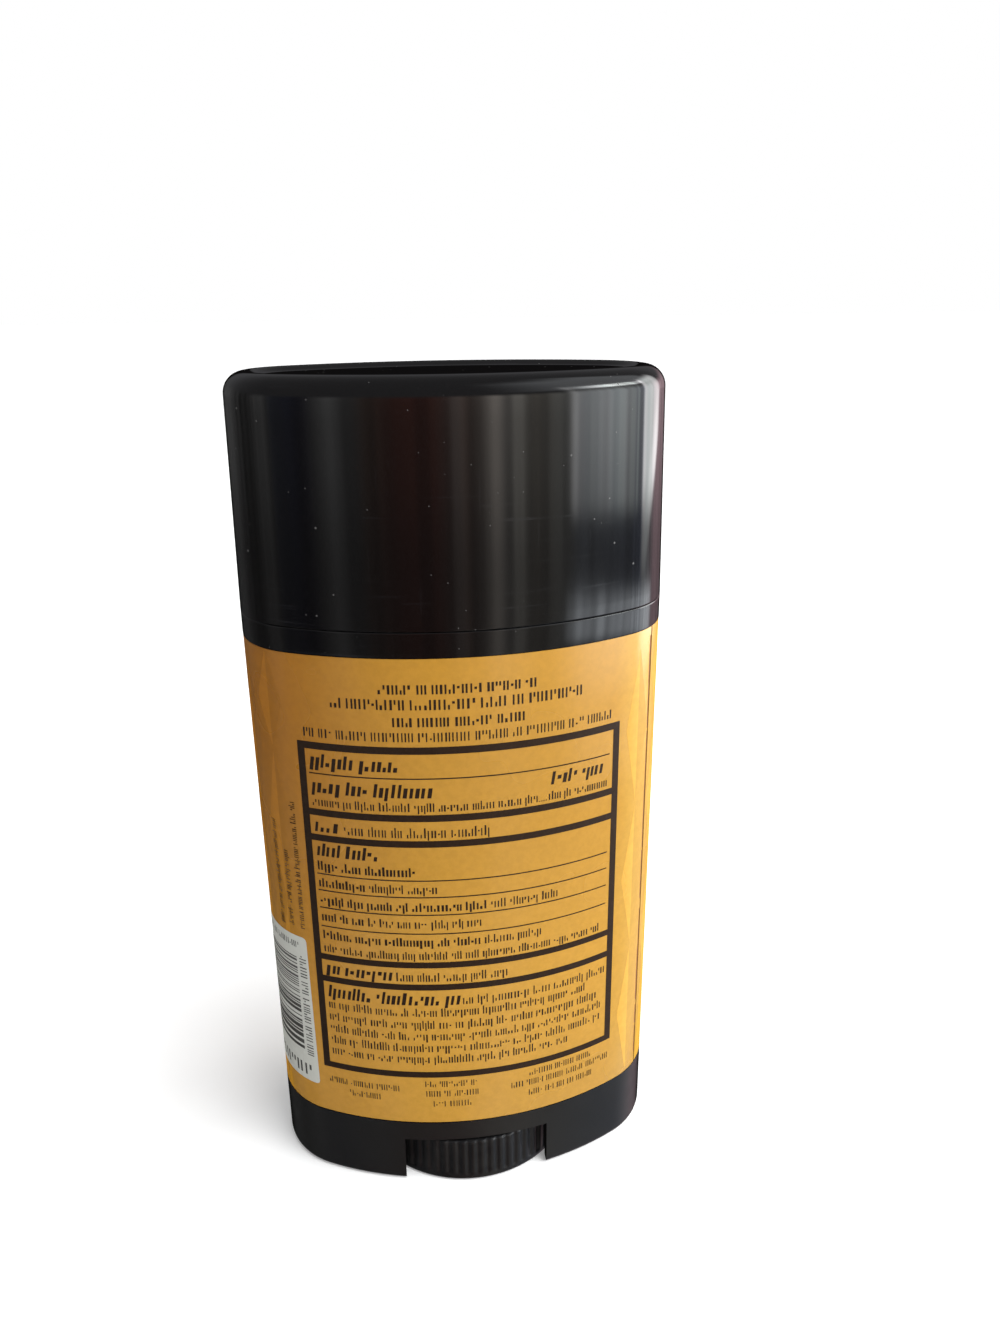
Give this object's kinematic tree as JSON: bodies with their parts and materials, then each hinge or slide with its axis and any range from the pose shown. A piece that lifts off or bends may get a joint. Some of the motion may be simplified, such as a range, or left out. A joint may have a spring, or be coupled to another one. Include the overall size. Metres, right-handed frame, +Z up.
{
  "type": "deodorant stick",
  "caption": "Oval twist-up deodorant stick: pull-off cap, label-wrapped barrel with a thumbwheel in its base, and a screw that raises the platform and its stick.",
  "frame": {"origin": "centre of the base, on the surface that the stick stands on", "axes": "+Z up along the pack and the screw, +X along the oval's long axis; the printed back panel faces -Y, and +Y is its short axis"},
  "size_m": [0.062, 0.036, 0.127],
  "materials": {
    "cap_black": "polished black polypropylene",
    "barrel_black": "glossy black shoulder band, satin black skirt",
    "label_film": "glossy printed amber film",
    "dial_black": "satin black, ribbed",
    "platform_white": "natural white moulding",
    "stick_white": "waxy solid, slightly translucent"
  },
  "bodies": {
    "barrel": {"barrel": "barrel_black", "label": "label_film"},
    "cap": {"cap": "cap_black"},
    "dial": {"dial_screw": "dial_black"},
    "elevator": {"elevator": "platform_white", "product": "stick_white"}
  },
  "joints": [
    {"name": "cap_pull", "type": "slide", "parent": "barrel", "child": "cap", "axis": [0, 0, 1], "range_m": [0, 0.055]},
    {"name": "dial_turn", "type": "hinge", "parent": "barrel", "child": "dial", "pos_m": [0, 0, 0], "axis": [0, 0, -1], "range_deg": [0, 5580]},
    {"name": "elevator_lift", "type": "slide", "parent": "barrel", "child": "elevator", "axis": [0, 0, 1], "range_m": [0, 0.062]}
  ],
  "couplings": [
    {"joint": "dial_turn", "follows": "elevator_lift", "rad_per_m": 1570.8}
  ]
}
